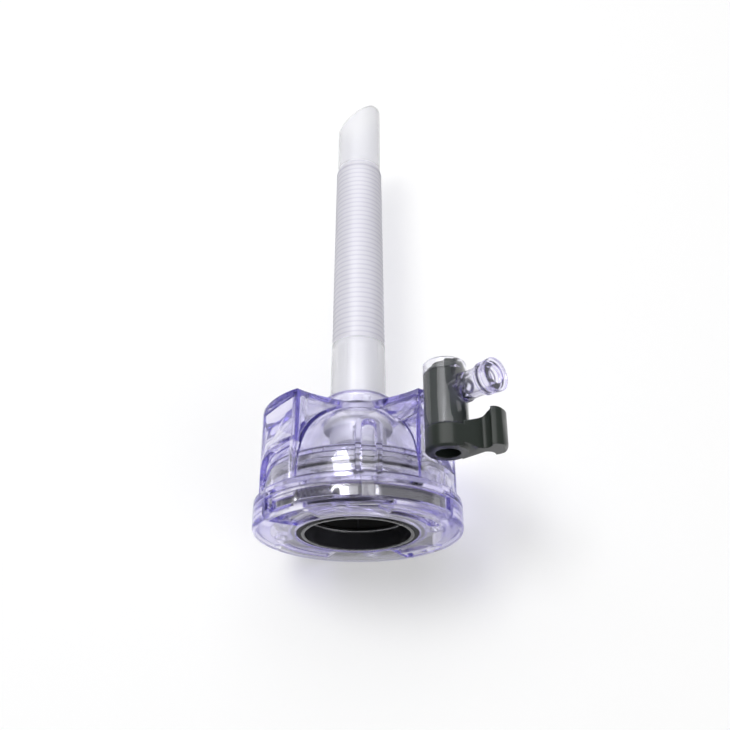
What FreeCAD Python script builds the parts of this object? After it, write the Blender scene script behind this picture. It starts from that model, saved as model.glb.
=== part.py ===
import FreeCAD, Part
import math
import os

# A laparoscopic port: a clear bell with finger wings carries a ribbed cannula, a duckbill valve and a
# stopcock, and a twist-off cap on its mouth holds the instrument seal. Millimetres. The axis is +Y,
# from the middle of the cap's face to the cannula's tip. +Z is the front, +X the stopcock's side.
# Angles about the axis start at +Z and grow towards +X.

os.makedirs("parts", exist_ok=True)
V = FreeCAD.Vector
ORIGIN = V(0, 0, 0)
AXIS = V(0, 1, 0)

# Clearances
running_clearance = 0.05
seam = 0.3
small_gap = 0.1

# Cap: cover, base, seal and gasket
cap_radius = 26.0
cap_depth = 5.0
cap_face = 1.6
cap_wall = 1.7
cap_round = 1.0
face_width = 12.9
window_depth = 0.4
window_low = 1.5
window_high = 4.6
window_half_angle = 56.0
window_rib = 3.1
side_block = 2.7
sleeve_wall = 0.8
sleeve_length = 5.0
web_gap = 0.2
web_thickness = 1.0
seal_flange = 1.6
gasket_wall = 1.1
gasket_rib = 0.5
neck_wall = 1.15
neck_recess = 0.3
funnel_shelf = 0.8
funnel_wall = 0.8
funnel_hole = 4.6
funnel_length = 5.6
guard_wall = 0.35
leaf_wall = 0.3
leaf_spare = 0.6
guard_step = 1.3
guard_count = 4
guard_slit = 3.0
base_thickness = 1.1
spigot_wall = 1.9
lug_reach = 1.35
lug_play = 0.5
lug_sweep = 22.0
lug_angle = 74.0
twist = 25.0
entry_spare = 3.0
peg_radius = 1.2
peg_count = 4
peg_angle = -11.0
boss_wall = 0.9
boss_height = 1.0

# Marks moulded in the cap, each repeated half a turn round
slot_angle = 23.0
slot_sweep = 44.0
slot_inset = 6.0
slot_width = 2.4
step_angle = -61.5
step_sweep = 29.0
step_insets = (9.7, 5.5, 2.2)
step_depth = 0.35
notch_angle = -50.0
notch_sweep = 16.0
notch_depth = 0.8
mark_length = 5.0
mark_width = 1.5
mark_depth = 0.3
mark_inset = 2.8

# Cannula
bore_radius = 5.5
tip_wall = 0.7
root_wall = 1.9
rib_root_wall = 1.63
rib_end_wall = 1.1
working_length = 97.5
rib_start = 16.5
rib_length = 57.0
rib_pitch = 1.5
rib_depth = 0.3
rib_rise = 0.35
shoulder_length = 2.0
bevel_rise = 9.5
bevel_round = 5.0
spout_flare = 0.9
spout_length = 5.2
spout_lip = 0.4
head_reach = 1.8
head_thickness = 1.2
o_ring_section = 0.4
o_ring_place = 2.9

# Bell: mouth flange, dome and collar
flange_inset = 0.1
flange_thickness = 2.45
flange_edge = 0.7
dome_inset = 2.0
dome_height = 25.0
dome_wall = 2.0
crown_wall = 1.4
head_share = 0.85
collar_wall = 1.6
collar_height = 6.5
collar_groove = 0.5
collar_lip = 1.2
groove_wall = 3.4
groove_depth = 1.3
ledge_thickness = 3.3
lug_groove_height = 2.4
seat_step = 2.0
seat_thickness = 1.2

# Finger wings on the bell
wing_inset = 1.3
wing_wall = 1.5
wing_drop = 5.0
crest_drop = 3.9
wing_crown = 0.7
scoop_spare = 0.3
scoop_web = 0.6
panel_angle = 56.0
panel_half_angle = 19.0
panel_ledge = 1.2
arch_height = 9.7
arch_leg = 5.4
arch_front = 6.6
arch_back = 8.5
arch_middle = -1.0
arch_rim = 1.1
nest_corner = 2.5

# Sight channel on the bell's front
channel_x = 2.6
channel_width = 6.2
channel_slot = 3.4
channel_share = 0.61
channel_rise = 1.6
channel_depth = 0.7

# Duckbill valve and its clamp ring
duckbill_inset = 0.5
duckbill_taper = 3.0
duckbill_gap = 0.2
duckbill_wall = 0.9
duckbill_flange = 1.4
lip_half_height = 0.9
slit_half_width = 0.05
clamp_thickness = 1.3
clamp_lip = 1.0
clamp_edge = 0.3

# Stopcock
valve_angle = 44.0
valve_standoff = 0.15
valve_radius = 5.3
valve_wall = 1.0
valve_edge = 0.4
valve_below = 9.1
valve_above = 8.0
port_drop = 1.2
port_turn = 47.0
stub_radius = 2.8
gas_radius = 1.2
socket_wall = 0.75
socket_depth = 1.6
luer_radius = 3.4
luer_length = 15.6
luer_boss = 3.7
luer_boss_length = 6.4
luer_lip = 4.1
luer_lip_width = 1.5
luer_ring = 3.95
luer_ring_width = 0.8
luer_groove = 1.3
luer_mouth = 2.16
luer_depth = 8.0
luer_taper = 0.06
snap_depth = 2.8
snap_reach = 0.3
snap_head = 1.1
shoulder_radius = 4.0
button_radius = 3.1
button_height = 1.2
hub_height = 5.6
hub_edge = 0.5
hub_recess_radius = 3.0
hub_recess_depth = 3.0

# Lever, measured from the stopcock's axis and from the bottom of its hub
lever_turn = 14.0
lever_length = 14.0
lever_waist = 8.5
waist_half_width = 1.1
paddle_place = 10.7
paddle_half_width = 3.5
paddle_height = 9.1
paddle_crown = 0.4
paddle_edge = 1.3
lever_slope_start = 2.5
lever_slope_end = 7.4
lever_slope_height = 7.3
hollow_radius = 8.0
hollow_place = 4.4
hollow_depth = 1.25
hollow_tilt = 13.0

# Radii that follow from those above
port_radius = cap_radius - face_width
neck_radius = port_radius + sleeve_wall + running_clearance + neck_wall
cap_opening = neck_radius + 2 * small_gap
seal_radius = neck_radius + seal_flange
gasket_radius = cap_radius - cap_wall - seam
flange_radius = cap_radius - flange_inset
dome_radius = cap_radius - dome_inset
wing_radius = cap_radius - wing_inset
lug_groove_radius = flange_radius - groove_wall
mouth_radius = lug_groove_radius - groove_depth
seat_radius = mouth_radius - seat_step
spigot_radius = mouth_radius - seam
peg_circle = spigot_radius - spigot_wall
duckbill_radius = port_radius - duckbill_inset
root_radius = bore_radius + root_wall
tip_radius = bore_radius + tip_wall
head_radius = root_radius + head_reach
collar_bore = root_radius + running_clearance
collar_radius = root_radius + collar_wall
scoop_centre = wing_radius + scoop_spare
scoop_radius = scoop_centre - collar_radius - scoop_web
panel_reach = wing_radius * math.cos(math.radians(panel_half_angle))
valve_distance = wing_radius + valve_radius + valve_standoff
valve_x = valve_distance * math.sin(math.radians(valve_angle))
valve_z = valve_distance * math.cos(math.radians(valve_angle))

# Places along the axis
web_top = cap_face + boss_height + web_gap
base_top = web_top + web_thickness + small_gap
base_bottom = base_top + base_thickness
flange_low = cap_depth + seam
flange_high = flange_low + flange_thickness
groove_low = flange_low + ledge_thickness
groove_high = groove_low + lug_groove_height
spigot_end = groove_high - lug_play
clamp_low = groove_high + small_gap
clamp_high = clamp_low + clamp_thickness
seat = clamp_high + duckbill_flange
head_seat = flange_high + dome_height * head_share
head_low = head_seat - head_thickness
spout_end = head_low - spout_length
duckbill_end = spout_end - duckbill_gap
collar_high = head_seat + collar_height
tip = collar_high + working_length
wing_top = collar_high - wing_drop
wing_crest = collar_high - crest_drop
channel_top = flange_high + dome_height * channel_share
port_height = head_seat - port_drop
valve_low = port_height - valve_below
valve_high = port_height + valve_above
hub_top = valve_low - small_gap
hub_low = hub_top - hub_height
nest_bottom = hub_low - seam


def outline(points):
    """A flat face in the XY plane from (radius, height) corners."""
    corners = [V(x, y, 0) for x, y in points]
    return Part.Face(Part.makePolygon(corners + corners[:1]))


def turned(points):
    """A solid of revolution about the axis."""
    return outline(points).revolve(ORIGIN, AXIS, 360)


def ring(inner, outer, low, high):
    return turned([(inner, low), (outer, low), (outer, high), (inner, high)])


def disc(radius, low, high, x=0.0, z=0.0):
    return Part.makeCylinder(radius, high - low, V(x, low, z), AXIS)


def on_circle(radius, angle):
    """X and Z of a point at an angle about the axis."""
    turn = math.radians(angle)
    return radius * math.sin(turn), radius * math.cos(turn)


def swept(points, start, sweep):
    """Part of a solid of revolution, from the angle start."""
    face = outline(points)
    face.rotate(ORIGIN, AXIS, start - 90)
    return face.revolve(ORIGIN, AXIS, sweep)


def sector(inner, outer, low, high, start, sweep):
    return swept([(inner, low), (outer, low), (outer, high), (inner, high)], start, sweep)


def twice(shape):
    """The shape, and its copy half a turn round the axis."""
    other = shape.copy()
    other.rotate(ORIGIN, AXIS, 180)
    return [shape, other]


def dome_arc(radius, height):
    """Centre's distance from the axis and radius of the arc that a dome's outline follows."""
    centre = (radius ** 2 - height ** 2) / (2 * radius)
    return centre, radius - centre


def dome(radius, height, low, high):
    """The part between two heights of a dome that stands on the flange, upright at its foot."""
    centre, arc_radius = dome_arc(radius, height)
    half = math.asin(height / arc_radius) / 2
    foot, crown = V(radius, flange_high, 0), V(0, flange_high + height, 0)
    middle = V(centre + arc_radius * math.cos(half), flange_high + arc_radius * math.sin(half), 0)
    corners = [crown, V(0, flange_low, 0), V(radius, flange_low, 0), foot]
    edges = [Part.Arc(foot, middle, crown).toShape()]
    for first, second in zip(corners, corners[1:]):
        edges.append(Part.LineSegment(first, second).toShape())
    section = Part.Face(Part.Wire(edges))
    band = outline([(0, low), (radius + 1, low), (radius + 1, high), (0, high)])
    return section.common(band).Faces[0].revolve(ORIGIN, AXIS, 360)


def without(shape, tools):
    """The shape with each tool cut away in turn."""
    for tool in tools:
        shape = shape.cut(tool)
    return shape


def pipe(radius, start, direction, length):
    return Part.makeCylinder(radius, length, start, direction)


def save(name, shape):
    shape = shape.removeSplitter()
    solids = shape.Solids
    body = solids[0] if len(solids) == 1 else Part.makeCompound(solids)
    body.exportStep("parts/" + name + ".step")


# Cannula

def rib_line():
    """Radius and height of the ribbed length: each rib rises slowly and drops back square."""
    count = int(rib_length / rib_pitch)
    start = collar_high + rib_start
    points = []
    for index in range(count):
        height = start + index * rib_pitch
        crest = bore_radius + rib_root_wall + (rib_end_wall - rib_root_wall) * index / count
        points.append((crest - rib_depth, height))
        points.append((crest, height + rib_pitch * rib_rise))
    points.append((bore_radius + rib_end_wall - rib_depth, start + count * rib_pitch))
    return points


def tip_cutter():
    """Everything beyond the bevelled end, whose long side is towards +X and is rounded over."""
    reach = tip_radius + 1
    slope = math.atan(bevel_rise / (2 * tip_radius))
    points = []
    for angle in (slope, slope / 2, 0):
        points.append(V(tip_radius - bevel_round * math.sin(angle),
                        tip - bevel_round * (1 - math.cos(angle)), -reach))
    turn, crown, end = points
    low = V(-reach, turn.y - math.tan(slope) * (turn.x + reach), -reach)
    corners = [end, V(reach, tip, -reach), V(reach, tip + 1, -reach), V(-reach, tip + 1, -reach), low]
    edges = [Part.LineSegment(low, turn).toShape(), Part.Arc(turn, crown, end).toShape()]
    for first, second in zip(corners, corners[1:]):
        edges.append(Part.LineSegment(first, second).toShape())
    return Part.Face(Part.Wire(edges)).extrude(V(0, 0, 2 * reach))


def cannula_tube():
    ribs = rib_line()
    spout_bore = bore_radius + spout_flare
    outside = [(spout_bore + spout_lip, spout_end), (root_radius, spout_end + root_radius - spout_bore),
               (root_radius, head_low), (head_radius, head_low), (head_radius, head_seat),
               (root_radius, head_seat), (root_radius, collar_high)]
    outside += [(bore_radius + rib_root_wall, ribs[0][1] - small_gap)] + ribs
    outside += [(bore_radius + rib_end_wall, ribs[-1][1] + small_gap),
                (tip_radius, ribs[-1][1] + shoulder_length), (tip_radius, tip)]
    inside = [(bore_radius, tip), (bore_radius, collar_high), (spout_bore, spout_end)]
    return turned(outside + inside).cut(tip_cutter())


def cannula_o_ring():
    section = root_radius + small_gap / 4 + o_ring_section
    return Part.makeTorus(section, o_ring_section, V(0, head_seat + o_ring_place, 0), AXIS)


# Bell

def placed_panel(shape, angle):
    shape.rotate(ORIGIN, AXIS, angle)
    return shape


def arch(side, grow, far):
    """The arched outline on a wing's panel: square at the scoop, round at the back, pushed outwards."""
    low, spring, high = flange_high, flange_high + arch_leg, flange_high + arch_height + grow
    front, middle, back = arch_front + grow, arch_middle, arch_middle - arch_back - grow
    slant = math.sqrt(0.5)
    shoulder = V(side * (middle + (back - middle) * slant), spring + (high - spring) * slant, 0)
    corners = [V(side * back, spring, 0), V(side * back, low, 0), V(side * front, low, 0),
               V(side * front, high, 0), V(side * middle, high, 0)]
    edges = [Part.Arc(corners[-1], shoulder, corners[0]).toShape()]
    for first, second in zip(corners, corners[1:]):
        edges.append(Part.LineSegment(first, second).toShape())
    return Part.Face(Part.Wire(edges)).extrude(V(0, 0, far))


def wing_space(inset):
    """The space of both wings, or of their pockets where the walls are taken off."""
    radius = wing_radius - inset
    top, crest = wing_top - inset, wing_crest - inset
    middle = V((radius + collar_radius) / 2, (top + crest) / 2 + wing_crown, 0)
    rim, neck = V(radius, top, 0), V(collar_radius, crest, 0)
    floor = flange_high
    edges = [Part.LineSegment(V(0, floor, 0), V(radius, floor, 0)).toShape(),
             Part.LineSegment(V(radius, floor, 0), rim).toShape(), Part.Arc(rim, middle, neck).toShape(),
             Part.LineSegment(neck, V(0, crest, 0)).toShape(),
             Part.LineSegment(V(0, crest, 0), V(0, floor, 0)).toShape()]
    space = Part.Face(Part.Wire(edges)).revolve(ORIGIN, AXIS, 360)
    for z in (scoop_centre, -scoop_centre):
        space = space.cut(disc(scoop_radius + inset, floor - 1, wing_crest + 1, 0, z))
    return space


def panel_cutter(low, inset):
    """A flat cut across a wing's round outside, under a ledge that is left at the top."""
    width = 2 * wing_radius * math.sin(math.radians(panel_half_angle))
    high = wing_top - panel_ledge if inset == 0 else wing_top
    reach = panel_reach - inset
    return Part.makeBox(width + 2 * inset, high - low, wing_radius, V(-width / 2 - inset, low, reach))


def wings(solid_dome):
    """Both wings, hollow outside the dome, with arched recesses in three of their four panels."""
    blocks = wing_space(0)
    pockets = wing_space(wing_wall)
    windows = []
    for angle, side in ((-panel_angle, 1), (panel_angle - 180, -1), (180 - panel_angle, 1)):
        rim = arch(side, arch_rim, wing_radius)
        blocks = blocks.cut(placed_panel(panel_cutter(flange_high, 0).cut(rim), angle))
        pockets = pockets.cut(placed_panel(panel_cutter(flange_high, wing_wall), angle))
        windows.append(placed_panel(arch(side, 0, wing_radius + 1), angle))
    nest = panel_cutter(nest_bottom, 0)
    lower = [edge for edge in nest.Edges if abs(edge.CenterOfMass.y - nest_bottom) < 0.01
             and edge.Vertexes[0].Z != edge.Vertexes[1].Z]
    blocks = blocks.cut(placed_panel(nest.makeFillet(nest_corner, lower), panel_angle))
    pockets = pockets.cut(placed_panel(panel_cutter(flange_high, wing_wall), panel_angle))
    return blocks, pockets.cut(solid_dome), [window.cut(solid_dome) for window in windows]


def channel(width, grow, top):
    """An upright prism with a round top, over the bell's front."""
    half = width / 2
    low, spring = flange_high, top - half
    feet = V(channel_x - half, low, 0), V(channel_x + half, low, 0)
    sides = V(channel_x - half, spring, 0), V(channel_x + half, spring, 0)
    edges = [Part.LineSegment(feet[0], feet[1]).toShape(), Part.LineSegment(feet[1], sides[1]).toShape(),
             Part.Arc(sides[1], V(channel_x, top, 0), sides[0]).toShape(),
             Part.LineSegment(sides[0], feet[0]).toShape()]
    prism = Part.Face(Part.Wire(edges)).extrude(V(0, 0, flange_radius))
    return prism.common(dome(dome_radius + grow, dome_height + grow, flange_high, channel_top + 1))


def stub_line():
    """Direction of the stub outwards to the stopcock, and how far out its socket in the dome ends."""
    x, z = on_circle(1, valve_angle)
    centre, arc_radius = dome_arc(dome_radius, dome_height)
    surface = centre + math.sqrt(arc_radius ** 2 - (port_height - flange_high) ** 2)
    return V(x, 0, z), surface - socket_depth


def bell_flange():
    edge = flange_edge
    rim = flange_radius - edge
    return turned([(0, flange_low), (rim, flange_low), (flange_radius, flange_low + edge),
                   (flange_radius, flange_high - edge), (rim, flange_high), (0, flange_high)])


def bell_collar():
    """The collar that grips the cannula, flared into the dome, with a groove under its rounded lip."""
    groove, lip = collar_high - collar_lip, collar_radius - collar_groove
    flare, edge = collar_groove * 4, collar_groove / 2
    foot = head_seat - 1
    return turned([(0, foot), (collar_radius + flare, foot), (collar_radius, head_seat + flare),
                   (collar_radius, groove - edge), (lip, groove), (collar_radius, groove + edge),
                   (collar_radius, collar_high - edge), (collar_radius - edge, collar_high),
                   (0, collar_high)])


def lug_slots():
    """Two grooves in the mouth for the cap's lugs, each with an entry from the mouth at its end."""
    groove = sector(seat_radius, lug_groove_radius, groove_low, groove_high, lug_angle - lug_sweep / 2 - 1,
                    twist + lug_sweep + entry_spare + 1)
    entry_sweep = lug_sweep + 2 * entry_spare
    entry = sector(seat_radius, lug_groove_radius, flange_low - 1, groove_high,
                   lug_angle + twist - entry_sweep / 2, entry_sweep)
    return twice(groove) + twice(entry)


def bell_cavity():
    """The hollows inside the bell, from the mouth to the collar, as a list of tools."""
    middle = head_seat + o_ring_place
    half = o_ring_section + running_clearance
    return [disc(mouth_radius, flange_low - 1, seat),
            disc(seat_radius, seat - 1, seat + seat_thickness + 1),
            dome(dome_radius - dome_wall, dome_height - crown_wall, seat + seat_thickness, head_seat),
            disc(head_radius + small_gap, head_low - head_thickness, head_seat),
            disc(collar_bore, head_seat - 1, collar_high + 1),
            ring(root_radius, root_radius + small_gap + 2 * o_ring_section, middle - half, middle + half)]


def housing_bell():
    solid_dome = dome(dome_radius, dome_height, flange_high, collar_high - 1)
    blocks, pockets, windows = wings(solid_dome)
    outward, socket_end = stub_line()
    level = AXIS * port_height
    boss = pipe(stub_radius + socket_wall, outward * (socket_end - 1) + level, outward,
                panel_reach - socket_end + 1)
    bell = bell_flange().fuse([solid_dome, bell_collar(), blocks])
    bell = without(bell, [pockets] + windows)
    bell = bell.fuse([boss, channel(channel_width, channel_rise, channel_top)])
    wall = (channel_width - channel_slot) / 2
    slot = channel(channel_slot, channel_rise + 1, channel_top - wall)
    slot_floor = dome(dome_radius - channel_depth, dome_height - channel_depth, flange_low, collar_high)
    socket = pipe(stub_radius + running_clearance, outward * socket_end + level, outward, valve_distance)
    gas_way = pipe(gas_radius, outward * (socket_end - 3 * dome_wall) + level, outward, valve_distance)
    return without(bell, [slot.cut(slot_floor)] + bell_cavity() + lug_slots() + [socket, gas_way])


# Duckbill valve

def wedge(radius, tip_width, half_root, half_tip, low, high):
    """A cone squeezed flat between two sloping planes, as a duckbill's lips are."""
    cone = turned([(0, low), (radius, low), (tip_width, high), (0, high)])
    sides = [V(-radius, low, -half_root), V(-radius, low, half_root), V(-radius, high, half_tip),
             V(-radius, high, -half_tip)]
    prism = Part.Face(Part.makePolygon(sides + sides[:1])).extrude(V(2 * radius, 0, 0))
    return cone.common(prism)


def duckbill_valve():
    flange = disc(spigot_radius, clamp_high, seat)
    tip_width = duckbill_radius - duckbill_taper
    lips = wedge(duckbill_radius, tip_width, duckbill_radius, lip_half_height, clamp_high, duckbill_end)
    root, wall = duckbill_radius - duckbill_wall, duckbill_wall
    inner = wedge(root, tip_width - wall, root, slit_half_width, clamp_high - 0.01, duckbill_end + 0.01)
    return flange.fuse(lips).cut(inner)


def duckbill_clamp():
    """The ring that is pressed in behind the duckbill's flange, with a chamfered lead-in."""
    inner, outer = seat_radius - clamp_lip, mouth_radius - running_clearance
    return turned([(inner, clamp_low + clamp_edge), (inner + clamp_edge, clamp_low), (outer, clamp_low),
                   (outer, clamp_high - clamp_edge), (outer - clamp_edge, clamp_high), (inner, clamp_high)])


# Cap

def pegs(radius, low, high):
    """Rods at the four places where the cap's base is pegged to its cover."""
    return [disc(radius, low, high, *on_circle(peg_circle, peg_angle + index * 360 / peg_count))
            for index in range(peg_count)]


def cap_marks():
    """Arc slots, stepped recesses and skirt notches, all in pairs, and one capsule mark at the front."""
    slot_middle = cap_radius - slot_inset
    inner, outer = slot_middle - slot_width / 2, slot_middle + slot_width / 2
    tools = twice(sector(inner, outer, -1, cap_face / 2, slot_angle, slot_sweep))
    deep, shallow, edge = [cap_radius - inset for inset in step_insets]
    tools += twice(sector(deep, edge, -1, step_depth, step_angle, step_sweep))
    tools += twice(sector(deep, shallow, -1, 2 * step_depth, step_angle, step_sweep))
    tools += twice(sector(cap_radius - notch_depth, cap_radius + 1, notch_depth, 4 * notch_depth,
                          notch_angle, notch_sweep))
    reach = (mark_length - mark_width) / 2
    middle = cap_radius - mark_inset
    bar = Part.makeBox(2 * reach, 2 * mark_depth, mark_width,
                       V(channel_x - reach, -mark_depth, middle - mark_width / 2))
    ends = [disc(mark_width / 2, -mark_depth, mark_depth, channel_x + side * reach, middle)
            for side in (-1, 1)]
    return tools + [bar.fuse(ends)]


def cap_cover():
    turn = math.sqrt(0.5) * cap_round
    centre_x, centre_y = cap_radius - cap_round, cap_round
    inside = cap_radius - cap_wall
    cover = turned([(cap_opening, 0), (centre_x, 0), (centre_x + turn, centre_y - turn),
                    (cap_radius, centre_y), (cap_radius, cap_depth), (inside, cap_depth), (inside, cap_face),
                    (cap_opening, cap_face)])
    side_start = window_half_angle + 6
    ribs = twice(sector(inside - side_block, inside + cap_wall / 2, cap_face / 2, cap_depth - small_gap,
                        side_start, 180 - 2 * side_start))
    boss_end = cap_face + boss_height
    rib_outside = gasket_radius - gasket_wall - small_gap
    ribs += twice(sector(rib_outside - gasket_rib, rib_outside, cap_face / 2, boss_end, -window_half_angle,
                         2 * window_half_angle))
    ribs.append(ring(neck_radius + seam, seal_radius, cap_face / 2, web_top - small_gap))
    cover = cover.fuse(ribs + pegs(peg_radius + boss_wall, cap_face / 2, boss_end))
    window = sector(cap_radius - window_depth, cap_radius + 1, window_low, window_high, -window_half_angle,
                    2 * window_half_angle)
    rib = Part.makeBox(window_rib, cap_depth, 2 * cap_radius, V(channel_x - window_rib / 2, 0, 0))
    cuts = pegs(peg_radius + running_clearance, cap_face / 2, boss_end + 1)
    cuts += [window.cut(rib), window.rotated(ORIGIN, AXIS, 180)] + cap_marks()
    return cover.cut(cuts)


def cap_base():
    """The lower half of the cap: pegs up into the cover, and a spigot with two lugs into the bell."""
    plate = ring(neck_radius + seam, spigot_radius, base_top, base_bottom)
    spigot = ring(spigot_radius - spigot_wall, spigot_radius, base_top, spigot_end)
    lugs = twice(sector(spigot_radius - spigot_wall, spigot_radius + lug_reach, groove_low + seam, spigot_end,
                        lug_angle - lug_sweep / 2, lug_sweep))
    return plate.fuse([spigot] + lugs + pegs(peg_radius, cap_face / 2 + small_gap, base_top + small_gap))


def instrument_seal():
    """One rubber moulding: a neck round the sleeve, a flange clamped in the cap, and the funnel."""
    inner = port_radius + sleeve_wall + running_clearance
    shelf = sleeve_length + guard_wall + leaf_wall
    neck = ring(inner, neck_radius, neck_recess, shelf + funnel_shelf)
    flange = ring(inner, seal_radius, web_top, web_top + web_thickness)
    mouth = port_radius - 1
    floor = ring(mouth, neck_radius, shelf, shelf + funnel_shelf)
    tip_height = shelf + funnel_length
    funnel = turned([(mouth, shelf), (mouth, shelf + funnel_wall), (funnel_hole, tip_height + funnel_wall),
                     (funnel_hole, tip_height)])
    return neck.fuse([flange, floor, funnel])


def cap_gasket():
    """Two rubber strips behind the cover's windows, which rest on the bell's flange and take up the play."""
    return Part.makeCompound(twice(sector(gasket_radius - gasket_wall, gasket_radius, cap_face + small_gap,
                                          cap_depth + small_gap, -window_half_angle, 2 * window_half_angle)))


def port_sleeve():
    """The rigid guide that lines the cap's opening."""
    return ring(port_radius, port_radius + sleeve_wall, 0, sleeve_length)


def seal_guard_ring():
    """The thin ring that holds the guard leaves under the sleeve."""
    outer = port_radius + sleeve_wall
    return ring(port_radius - guard_step, outer, sleeve_length, sleeve_length + guard_wall)


def seal_guard_leaves():
    """Stiff leaves round the funnel, which keep an instrument's tip off the rubber."""
    top = sleeve_length + guard_wall
    foot = top + leaf_wall
    mouth, hole = port_radius - guard_step, funnel_hole + leaf_spare
    fall = (mouth - hole) * funnel_length / (port_radius - 1 - funnel_hole)
    profile = [(port_radius + sleeve_wall, top), (port_radius + sleeve_wall, foot), (mouth, foot),
               (hole, foot + fall), (hole, foot + fall - 1.25 * leaf_wall), (mouth, top)]
    sweep = 360 / guard_count
    return Part.makeCompound([swept(profile, index * sweep + guard_slit / 2, sweep - guard_slit)
                              for index in range(guard_count)])


# Stopcock

def across(radius, start, end, turn, height):
    """A rod from the stopcock's axis, at a turn from +X towards +Z."""
    angle = math.radians(turn)
    direction = V(math.cos(angle), 0, math.sin(angle))
    return pipe(radius, V(valve_x, height, valve_z) + direction * start, direction, end - start)


def stopcock_barrel():
    """A cup round the plug, the stub that plugs into the bell, and the side port with its luer mouth."""
    outward, socket_end = stub_line()
    level = AXIS * port_height
    bore = valve_radius - valve_wall
    barrel = turned([(0, valve_low), (valve_radius, valve_low), (valve_radius, valve_high - valve_edge),
                     (valve_radius - valve_edge, valve_high), (0, valve_high)])
    barrel.translate(V(valve_x, 0, valve_z))
    stub_start = socket_end + small_gap
    stub = pipe(stub_radius, outward * stub_start + level, outward, valve_distance - stub_start)
    lip = luer_length - luer_lip_width
    groove = lip - luer_groove
    port = [across(luer_radius, 0, luer_length - small_gap, port_turn, port_height),
            across(luer_boss, 0, luer_boss_length, port_turn, port_height),
            across(luer_ring, groove - luer_ring_width, groove, port_turn, port_height),
            across(luer_lip, lip, luer_length, port_turn, port_height)]
    body = barrel.fuse([stub] + port)
    angle = math.radians(port_turn)
    direction = V(math.cos(angle), 0, math.sin(angle))
    start = V(valve_x, port_height, valve_z) + direction * (luer_length - luer_depth)
    taper = Part.makeCone(luer_mouth - luer_taper * luer_depth / 2, luer_mouth, luer_depth, start, direction)
    snap = valve_high - snap_depth
    cuts = [disc(bore, valve_low - 1, snap, valve_x, valve_z),
            disc(bore + snap_reach + small_gap, snap, valve_high + 1, valve_x, valve_z), taper,
            across(gas_radius, 0, luer_length, port_turn, port_height),
            pipe(gas_radius, outward * (socket_end - 1) + level, outward, valve_distance - socket_end + 1)]
    return body.cut(cuts)


def lever_plan():
    """The lever seen from above: tangent to its hub, drawn in to a waist, flared to a round paddle."""
    distance = math.hypot(lever_waist, waist_half_width)
    turn = math.atan2(waist_half_width, lever_waist) + math.acos(valve_radius / distance)
    leave = V(valve_radius * math.cos(turn), 0, valve_radius * math.sin(turn))
    waist, corner = V(lever_waist, 0, waist_half_width), V(paddle_place, 0, paddle_half_width)
    flare = (waist + corner) * 0.5 + V(waist_half_width / 2, 0, -waist_half_width / 2)
    mirror = [V(point.x, 0, -point.z) for point in (leave, waist, flare, corner)]
    edges = [Part.LineSegment(mirror[0], leave), Part.LineSegment(leave, waist),
             Part.Arc(waist, flare, corner), Part.Arc(corner, V(lever_length, 0, 0), mirror[3]),
             Part.Arc(mirror[3], mirror[2], mirror[1]), Part.LineSegment(mirror[1], mirror[0])]
    return Part.Face(Part.Wire([edge.toShape() for edge in edges]))


def lever_side():
    """The lever seen from the side: level below, sloping up from the hub, then up again to the paddle."""
    rise = hub_low + paddle_height
    slope = V(lever_slope_end, hub_low + lever_slope_height, 0)
    brow = V(paddle_place - 1, rise - paddle_crown / 2, 0)
    step = (slope + brow) * 0.5 - V(0, paddle_crown / 2, 0)
    crown = V((paddle_place + lever_length) / 2, rise + paddle_crown / 2, 0)
    end = V(lever_length, rise - paddle_crown, 0)
    heel, toe = V(lever_length, hub_low + paddle_edge, 0), V(lever_length - paddle_edge, hub_low, 0)
    inset = paddle_edge * (1 - math.sqrt(0.5))
    round_heel = V(lever_length - inset, hub_low + inset, 0)
    corners = [toe, V(0, hub_low, 0), V(0, hub_top, 0), V(lever_slope_start, hub_top, 0), slope]
    edges = [Part.Arc(slope, step, brow), Part.Arc(brow, crown, end), Part.LineSegment(end, heel),
             Part.Arc(heel, round_heel, toe)]
    edges += [Part.LineSegment(first, second) for first, second in zip(corners, corners[1:])]
    return Part.Face(Part.Wire([edge.toShape() for edge in edges]))


def plug_lever():
    """The lever along +X, clear of the barrel, with a hollow for a fingertip under its front."""
    tall = V(0, 2 * paddle_height, 0)
    plan = lever_plan().translated(V(0, hub_low - paddle_height / 2, 0)).extrude(tall)
    wide = lever_side().translated(V(0, 0, -valve_radius)).extrude(V(0, 0, 2 * valve_radius))
    tilt = math.radians(hollow_tilt)
    start = V(hollow_place, hub_low + hollow_depth - hollow_radius, valve_radius)
    hollow = pipe(hollow_radius, start, V(0, -math.sin(tilt), -math.cos(tilt)), 2 * valve_radius)
    return without(plan.common(wide), [disc(valve_radius + seam, hub_top, hub_top + paddle_height), hollow])


def stopcock_plug():
    """The plug and its lever in one moulding, with a cross hole in line with the lever."""
    core = valve_radius - valve_wall - running_clearance
    snap = valve_high - snap_depth + small_gap
    head = snap + snap_head
    button = head + button_height
    plug = turned([(0, hub_low), (valve_radius - hub_edge, hub_low), (valve_radius, hub_low + hub_edge),
                   (valve_radius, hub_top), (core, hub_top), (core, snap), (core + snap_reach, snap),
                   (core, head - snap_reach), (shoulder_radius, head), (button_radius, head),
                   (button_radius, button), (0, button)])
    plug = plug.fuse(plug_lever())
    hole = pipe(gas_radius, V(-valve_radius, port_height, 0), V(1, 0, 0), 2 * valve_radius)
    plug = without(plug, [hole, disc(hub_recess_radius, hub_low - 1, hub_low + hub_recess_depth)])
    plug.rotate(ORIGIN, AXIS, -lever_turn)
    plug.translate(V(valve_x, 0, valve_z))
    return plug


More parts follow.
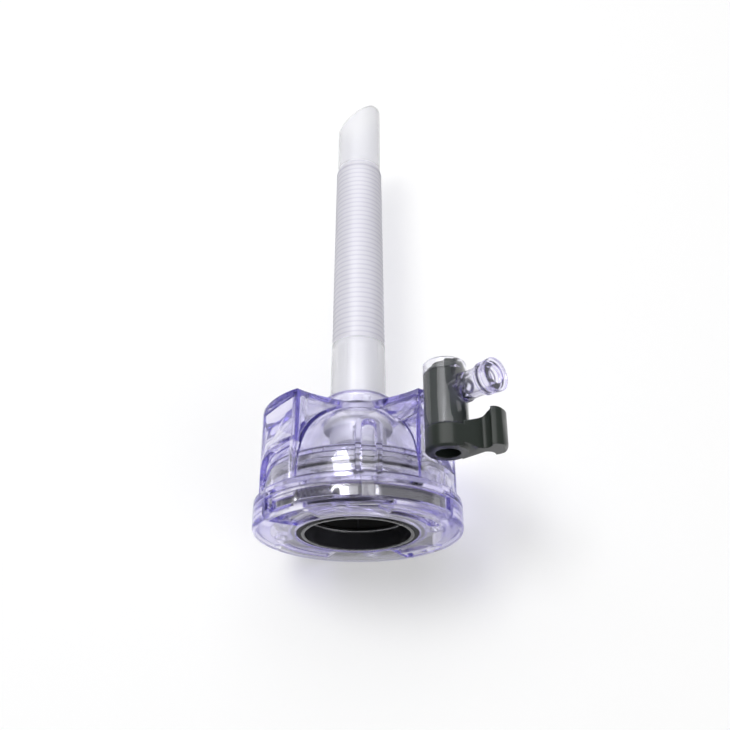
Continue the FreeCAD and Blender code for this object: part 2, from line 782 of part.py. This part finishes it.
save("cannula_tube", cannula_tube())
save("cannula_o_ring", cannula_o_ring())
save("housing_bell", housing_bell())
save("duckbill_valve", duckbill_valve())
save("duckbill_clamp_ring", duckbill_clamp())
save("cap_cover", cap_cover())
save("cap_base", cap_base())
save("instrument_seal", instrument_seal())
save("cap_gasket", cap_gasket())
save("port_sleeve", port_sleeve())
save("seal_guard_ring", seal_guard_ring())
save("seal_guard_leaves", seal_guard_leaves())
save("stopcock_barrel", stopcock_barrel())
save("stopcock_plug", stopcock_plug())
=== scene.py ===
import bpy
import bmesh
import math
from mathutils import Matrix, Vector


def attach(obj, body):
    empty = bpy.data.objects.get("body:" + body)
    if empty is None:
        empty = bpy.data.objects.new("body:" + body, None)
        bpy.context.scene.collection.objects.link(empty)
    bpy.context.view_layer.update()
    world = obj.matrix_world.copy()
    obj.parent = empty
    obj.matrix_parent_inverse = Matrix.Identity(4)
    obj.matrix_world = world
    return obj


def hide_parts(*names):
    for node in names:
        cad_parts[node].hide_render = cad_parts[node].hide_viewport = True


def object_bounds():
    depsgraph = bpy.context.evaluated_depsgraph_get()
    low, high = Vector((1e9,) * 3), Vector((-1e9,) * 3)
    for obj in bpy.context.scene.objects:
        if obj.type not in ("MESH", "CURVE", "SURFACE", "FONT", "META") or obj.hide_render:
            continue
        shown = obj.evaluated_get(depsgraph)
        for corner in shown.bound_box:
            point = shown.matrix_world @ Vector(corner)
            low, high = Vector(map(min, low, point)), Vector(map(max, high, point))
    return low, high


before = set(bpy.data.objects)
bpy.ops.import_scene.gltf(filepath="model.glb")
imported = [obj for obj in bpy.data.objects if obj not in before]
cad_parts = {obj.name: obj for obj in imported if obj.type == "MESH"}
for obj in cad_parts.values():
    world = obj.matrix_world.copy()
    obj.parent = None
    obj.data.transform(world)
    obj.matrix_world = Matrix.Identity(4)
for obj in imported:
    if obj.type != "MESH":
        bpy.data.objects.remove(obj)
cad_low, cad_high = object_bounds()


# The bell
# The housing that the surgeon holds, injection moulded in clear polycarbonate and polished. The resin is
# tinted violet, which shows only where the eye looks along a wall or into a thick corner; the deep violet
# along its edges is painted, standing in for light piped along them. Its underside is left matt, as that
# part of the mould isn't polished.

class Socket:
    """An output of a shader node, with arithmetic that adds Math nodes."""

    def __init__(self, tree, link):
        self.tree = tree
        self.link = link

    def math(self, operation, *values):
        added = self.tree.nodes.new("ShaderNodeMath")
        added.operation = operation
        for place, value in enumerate((self,) + values):
            set_input(self.tree, added.inputs[place], value)
        return Socket(self.tree, added.outputs[0])

    def __add__(self, other):
        return self.math("ADD", other)

    __radd__ = __add__

    def __mul__(self, other):
        return self.math("MULTIPLY", other)

    __rmul__ = __mul__

    def __sub__(self, other):
        return self.math("SUBTRACT", other)

    def __rsub__(self, other):
        return self.math("MULTIPLY", -1.0).math("ADD", other)

    def clamp(self):
        return self.math("MAXIMUM", 0.0).math("MINIMUM", 1.0)


def set_input(tree, target, value):
    if isinstance(value, Socket):
        tree.links.new(value.link, target)
    else:
        target.default_value = value


class Shader:
    """A material's node tree. Its add method makes a node and hands back one of its outputs."""

    def __init__(self, tree):
        self.tree = tree
        tree.nodes.clear()

    def add(self, kind, settings=None, output=0, **inputs):
        """Sets a node's settings, then its inputs, by name or by place as at0, at1 and so on."""
        added = self.tree.nodes.new("ShaderNode" + kind)
        for name, value in (settings or {}).items():
            setattr(added, name, value)
        for name, value in inputs.items():
            place = int(name[2:]) if name.startswith("at") else name.replace("_", " ")
            set_input(self.tree, added.inputs[place], value)
        return Socket(self.tree, added.outputs[output])

    def blend(self, share, first, second):
        """A colour between two."""
        return self.add("Mix", {"data_type": "RGBA"}, 2, at0=share, at6=first, at7=second)

    def mix(self, share, first, second):
        """A surface between two."""
        return self.add("MixShader", None, 0, at0=share, at1=first, at2=second)

    def noise(self, place, scale, detail=2.0):
        return self.add("TexNoise", None, 0, Vector=place, Scale=scale, Detail=detail)

    def ramp(self, value, start, end, first, last):
        """Eases from the first number to the last while the value goes from start to end."""
        return self.add("MapRange", {"interpolation_type": "SMOOTHSTEP"}, 0, Value=value, From_Min=start,
                        From_Max=end, To_Min=first, To_Max=last)

    def seen(self, *kinds):
        """One for rays of the given kinds, such as Camera, else nothing."""
        path = self.tree.nodes.new("ShaderNodeLightPath")
        total = 0.0
        for kind in kinds:
            total = Socket(self.tree, path.outputs["Is " + kind + " Ray"]) + total
        return total.clamp()

    def see_through(self, surface, colour):
        """The surface, which lets a lamp's light through in a colour, as a thin clear wall does."""
        return self.mix(self.seen("Shadow"), surface, self.add("BsdfTransparent", None, 0, Color=colour))

    def finish(self, surface, volume=None):
        end = self.tree.nodes.new("ShaderNodeOutputMaterial")
        self.tree.links.new(surface.link, end.inputs["Surface"])
        if volume:
            self.tree.links.new(volume.link, end.inputs["Volume"])


def new_material(name):
    made = bpy.data.materials.new(name)
    made.use_nodes = True
    return made, Shader(made.node_tree)


def clear_resin(name, colour, tint, density, edges):
    """Clear moulded resin: rounded edges, a tint which deepens with the light's way, and a painted violet at
    the edges for light piped along them.
    """
    made, shader = new_material(name)
    place = shader.add("TexCoord", None, "Object")
    waves = shader.noise(place, 110.0)
    grain = shader.noise(place, 900.0, 3.0)
    rounded = shader.add("Bevel", {"samples": 4}, 0, Radius=0.0006)
    flat = shader.add("NewGeometry", None, "Normal")
    likeness = shader.add("VectorMath", {"operation": "DOT_PRODUCT"}, 1, at0=rounded, at1=flat)
    # Painted light: this share paints the deep tint into the base colour near edges, standing in for light
    # piped along them.
    painted_edge_share = ((1.0 - likeness) * edges).clamp()
    normal = shader.add("Bump", None, 0, Height=waves + grain * 0.1, Strength=0.05, Distance=0.0003,
                        Normal=rounded)
    glass = shader.add("BsdfPrincipled", None, 0, Base_Color=shader.blend(painted_edge_share, colour, tint),
                       Roughness=grain * 0.02 + 0.01, IOR=1.58, Transmission_Weight=1.0, Normal=normal)
    depth = shader.add("VolumeAbsorption", None, 0, Color=tint, Density=density)
    shader.finish(shader.see_through(glass, (0.88, 0.88, 0.92, 1)), depth)
    return made


def matt_resin(name, dark, light, transmission):
    """Resin from a matt part of the mould, which spreads the light that meets it."""
    made, shader = new_material(name)
    grain = shader.noise(shader.add("TexCoord", None, "Object"), 1200.0)
    shader.finish(shader.add("BsdfPrincipled", None, 0, Base_Color=shader.blend(grain, dark, light),
                             Roughness=grain * 0.1 + 0.5, IOR=1.58, Transmission_Weight=transmission))
    return made


weld_distance, flat_angle, sharp_angle = 2e-6, math.radians(0.3), math.radians(28)


def moulding(node, body, finish):
    """A welded, smooth copy of a CAD node that takes its place."""
    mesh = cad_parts[node].data.copy()
    piece = bpy.data.objects.new(node + "_moulding", mesh)
    bpy.context.scene.collection.objects.link(piece)
    shape = bmesh.new()
    shape.from_mesh(mesh)
    bmesh.ops.remove_doubles(shape, verts=shape.verts, dist=weld_distance)
    bmesh.ops.dissolve_limit(shape, angle_limit=flat_angle, verts=shape.verts, edges=shape.edges)
    shape.to_mesh(mesh)
    shape.free()
    mesh.materials.clear()
    mesh.materials.append(finish)
    for face in mesh.polygons:
        face.use_smooth = True
        face.material_index = 0
    mesh.set_sharp_from_angle(angle=sharp_angle)
    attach(piece, body)
    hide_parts(node)
    return piece


def refinish(piece, finish, chosen):
    """Gives a second finish to the faces whose centre and normal pass a test."""
    piece.data.materials.append(finish)
    for face in piece.data.polygons:
        if chosen(face.center, face.normal):
            face.material_index = 1


# deep_violet is the resin's tint and also the painted edge colour for light piped along edges; 3.6 sets its
# strength.
pale_violet, deep_violet = (0.985, 0.985, 1.0, 1), (0.26, 0.17, 0.80, 1)
violet_resin = clear_resin("clear_violet_polycarbonate", pale_violet, deep_violet, 45.0, 3.6)
matt_rim = matt_resin("matt_violet_polycarbonate", (0.48, 0.42, 0.78, 1), (0.56, 0.50, 0.82, 1), 0.3)
rim_height, downward = 0.0054, -0.9
bell = moulding("housing_bell", "housing", violet_resin)
refinish(bell, matt_rim, lambda centre, normal: centre.y < rim_height and normal.y < downward)


# The cannula
# One tube of nearly colourless polycarbonate, whose head is pushed into the bell's collar. Fine matt ribs
# grip the tissue, with painted shade in their valleys, and the bevelled tip and the root are smoother.

def frosted_resin(name, colour, painted_valley_shade, transmission, roughness):
    """Resin with a fine matt surface, so that part of the light spreads in its skin, and painted shade in
    the valleys between ribs.
    """
    made, shader = new_material(name)
    place = shader.add("TexCoord", None, "Object")
    grain = shader.noise(place, 1200.0, 3.0)
    along = shader.add("SeparateXYZ", None, "Y", Vector=place)
    # Painted shade: the rib phase and this ramp darken the base colour towards each rib's valley.
    phase = ((along - rib_low) * (1.0 / rib_pitch)).math("FRACT")
    depth = shader.ramp((phase - 0.5).math("ABSOLUTE"), 0.25, 0.5, 0.0, 1.0)
    normal = shader.add("Bump", None, 0, Height=grain, Strength=0.03, Distance=0.0001)
    glass = shader.add("BsdfPrincipled", None, 0, Base_Color=shader.blend(depth, colour, painted_valley_shade),
                       Roughness=grain * 0.1 + roughness, IOR=1.5, Transmission_Weight=transmission,
                       Normal=normal)
    shader.finish(shader.see_through(glass, (0.72, 0.72, 0.76, 1)))
    return made


rib_low, rib_high, rib_pitch, rib_reach = 0.0520, 0.1112, 0.0015, 0.0058
smooth_colour = (0.85, 0.85, 0.87, 1)
# The valley colour is painted shade for the ribs' valleys.
rib_colour, rib_valley_painted_shade = (0.82, 0.81, 0.86, 1), (0.66, 0.65, 0.73, 1)
smooth_resin = frosted_resin("polished_tube_polycarbonate", smooth_colour, smooth_colour, 0.65, 0.18)
ribbed_resin = frosted_resin("matt_tube_polycarbonate_painted_rib_shade", rib_colour, rib_valley_painted_shade, 0.45, 0.3)
tube = moulding("cannula_tube", "housing", smooth_resin)
refinish(tube, ribbed_resin, lambda centre, normal: math.hypot(centre.x, centre.z) > rib_reach
         and rib_low < centre.y < rib_high)


# The duckbill valve and its clamp ring
# The valve is dipped silicone, milky and soft, which closes when no instrument is in it. A ring of clear
# polycarbonate, untinted as all the inner pieces are, clamps its flange under the bell's seat.

def milky_silicone():
    made, shader = new_material("milky_silicone")
    cloud = shader.noise(shader.add("TexCoord", None, "Object"), 160.0)
    colour = shader.blend(cloud, (0.93, 0.93, 0.94, 1), (0.98, 0.98, 0.98, 1))
    shader.finish(shader.add("BsdfPrincipled", None, 0, Base_Color=colour, Roughness=cloud * 0.1 + 0.1,
                             IOR=1.41, Transmission_Weight=0.97))
    return made


# The inner resin's edges get a faint painted violet too (0.4), standing in for light piped along them.
pale_inner, deep_inner = (0.99, 0.99, 1.0, 1), (0.60, 0.56, 0.90, 1)
inner_resin = clear_resin("clear_inner_polycarbonate", pale_inner, deep_inner, 15.0, 0.4)
moulding("duckbill_valve", "housing", milky_silicone())
moulding("duckbill_clamp_ring", "housing", inner_resin)


# The stopcock's barrel
# A cup on a stub that is pushed into the bell, with the side port for the gas line. It is one moulding in
# the bell's violet resin.

moulding("stopcock_barrel", "housing", violet_resin)


# The stopcock's plug
# Plug and lever in one moulding of dark olive plastic, snapped into the barrel. The core is greased, which
# fills the running gap, so that no air is seen between it and the clear wall.

def moulded(name, dark, light, roughness, coat, grain, index=1.5):
    """An opaque moulded finish, with a broad drift in its colour and a fine grain in its gloss."""
    made, shader = new_material(name)
    place = shader.add("TexCoord", None, "Object")
    fine = shader.noise(place, 1400.0, 3.0)
    rounded = shader.add("Bevel", {"samples": 4}, 0, Radius=0.0004)
    normal = shader.add("Bump", None, 0, Height=fine, Strength=grain, Distance=0.00005, Normal=rounded)
    colour = shader.blend(shader.noise(place, 60.0), dark, light)
    shader.finish(shader.add("BsdfPrincipled", None, 0, Base_Color=colour, Roughness=fine * 0.08 + roughness,
                             IOR=index, Coat_Weight=coat, Coat_Roughness=0.05, Normal=normal))
    return made


plug_plastic = moulded("dark_olive_plastic", (0.014, 0.019, 0.016, 1), (0.021, 0.028, 0.023, 1),
                       roughness=0.28, coat=0.2, grain=0.05)
plug = moulding("stopcock_plug", "valve_plug", plug_plastic)
valve_x, valve_z = 0.020944, 0.021688
core_radius, core_low, core_margin, grease = 0.00425, 0.0185, 0.00001, 0.00008
for vertex in plug.data.vertices:
    reach = math.hypot(vertex.co.x - valve_x, vertex.co.z - valve_z)
    if abs(reach - core_radius) < core_margin and vertex.co.y > core_low:
        vertex.co.x += (vertex.co.x - valve_x) * grease / reach
        vertex.co.z += (vertex.co.z - valve_z) * grease / reach


# The rubber seals
# The instrument seal in the cap and the O-ring on the cannula's head are moulded in black rubber. The gasket
# strips behind the cap's windows are pressed against their clear wall, so they look glossy.

black_rubber = moulded("black_rubber", (0.010, 0.010, 0.012, 1), (0.016, 0.016, 0.020, 1),
                       roughness=0.5, coat=0.0, grain=0.04, index=1.3)
gloss_rubber = moulded("glossy_black_rubber", (0.006, 0.006, 0.007, 1), (0.010, 0.010, 0.011, 1),
                       roughness=0.1, coat=1.0, grain=0.02, index=1.9)
moulding("cannula_o_ring", "housing", black_rubber)
moulding("instrument_seal", "seal_cap", black_rubber)
moulding("cap_gasket", "seal_cap", gloss_rubber)


# The seal guard
# A ring and four leaves of thin black plastic, laid in the seal's funnel, which keep sharp instruments off
# the rubber. Their near-zero black and weak gloss are painted shade for the deep mouth, on top of the
# plastic's own black.

# Painted shade: the guard's black is set far below black plastic so the deep mouth reads as shaded.
guard_plastic_painted_shade = moulded("black_guard_plastic_painted_shade", (0.001, 0.001, 0.001, 1), (0.002, 0.002, 0.002, 1),
                        roughness=0.5, coat=0.0, grain=0.05, index=1.2)
moulding("seal_guard_ring", "seal_cap", guard_plastic_painted_shade)
moulding("seal_guard_leaves", "seal_cap", guard_plastic_painted_shade)


# The seal cap
# Base, mouth sleeve and cover of clear resin, pressed together over the seal. The cover has the bell's tint,
# and the floor of the capsule mark at its front is matt white.

mark_x, mark_half_length, mark_low, mark_high = 0.0026, 0.0026, 0.0222, 0.0242
mark_depth, mark_margin = 0.0003, 0.0001
matt_mark = matt_resin("matt_white_mark", (0.84, 0.84, 0.88, 1), (0.90, 0.90, 0.93, 1), 0.0)
moulding("cap_base", "seal_cap", inner_resin)
moulding("port_sleeve", "seal_cap", inner_resin)
cover = moulding("cap_cover", "seal_cap", violet_resin)
refinish(cover, matt_mark, lambda centre, normal: abs(centre.x - mark_x) < mark_half_length
         and mark_low < centre.z < mark_high and abs(centre.y - mark_depth) < mark_margin)


# The floor
# A plain white sheet that the port lies on. It shows white to the camera and in the clear resin, fully so
# away from the port, and keeps the port's shadow.

floor_reach, floor_gap = 3.0, 0.0002
floor_height = cad_low.z - floor_gap
floor_mesh = bpy.data.meshes.new("floor")
corners = [(x * floor_reach, y * floor_reach, floor_height) for x, y in ((-1, -1), (1, -1), (1, 1), (-1, 1))]
floor_mesh.from_pydata(corners, [], [(0, 1, 2, 3)])
floor = bpy.data.objects.new("floor", floor_mesh)
bpy.context.scene.collection.objects.link(floor)
white_floor, shader = new_material("white_floor")
sheet = shader.add("BsdfDiffuse", None, 0, Color=(0.95, 0.95, 0.95, 1))
glow = shader.add("Emission", None, 0, Color=(1, 1, 1, 1), Strength=1.0)
away = shader.add("VectorMath", {"operation": "LENGTH"}, 1, at0=shader.add("TexCoord", None, "Object"))
shadow_end, white_start, white_by_port = 0.12, 0.50, 0.35
white = shader.ramp(away, shadow_end, white_start, white_by_port, 1.0)
shader.finish(shader.mix(shader.seen("Camera", "Glossy", "Transmission") * white, sheet, glow))
floor_mesh.materials.append(white_floor)


# Light and camera
# A light tent. The key is a small soft box high on the left, which throws the shadow and is masked off the
# glosses. A wide panel overhead and a weak one in front give the clear resin its reflections.

def soft_box(name, place, width, depth, power, shown=True):
    lamp = bpy.data.lights.new(name, "AREA")
    lamp.shape = "RECTANGLE"
    lamp.size, lamp.size_y = width, depth
    lamp.energy = power
    holder = bpy.data.objects.new(name, lamp)
    holder.location = place
    holder.visible_glossy = shown
    holder.rotation_euler = (lamp_target - Vector(place)).to_track_quat("-Z", "Y").to_euler()
    bpy.context.scene.collection.objects.link(holder)


lamp_target = Vector((0, 0.03, 0))
soft_box("key", (-0.36, 0.26, 1.00), 0.36, 0.36, 6.0, shown=False)
soft_box("panel", (-0.10, 0.32, 0.63), 0.80, 0.45, 1.8)
soft_box("fill", (0.45, -0.35, 0.50), 0.50, 0.50, 1.3)

scene = bpy.context.scene
scene.world = bpy.data.worlds.new("tent")
scene.world.use_nodes = True
sky = Shader(scene.world.node_tree)
upward = sky.add("SeparateXYZ", None, "Z", Vector=sky.add("TexCoord", None, "Generated"))
tent_light, horizon, ceiling_start, white_tent = 0.25, 0.55, 0.25, 1.0
tent = sky.ramp(upward, 0.0, ceiling_start, horizon, white_tent)
strength = (sky.seen("Transmission") * (tent - tent_light)
            + sky.seen("Camera") * (white_tent - tent_light) + tent_light)
background = sky.add("Background", None, 0, Color=(1, 1, 1, 1), Strength=strength)
end = sky.tree.nodes.new("ShaderNodeOutputWorld")
sky.tree.links.new(background.link, end.inputs["Surface"])

camera_data = bpy.data.cameras.new("camera")
camera_data.sensor_width = 36.0
camera_data.lens = 46.85
camera = bpy.data.objects.new("camera", camera_data)
camera.location = (0.00175, -0.0675, 0.2270)
camera.rotation_euler = (math.radians(26.72), 0, 0)
scene.collection.objects.link(camera)
scene.camera = camera
scene.view_settings.view_transform = "Standard"
scene.cycles.max_bounces = 48
scene.cycles.glossy_bounces = 32
scene.cycles.transmission_bounces = 48
scene.cycles.transparent_max_bounces = 32
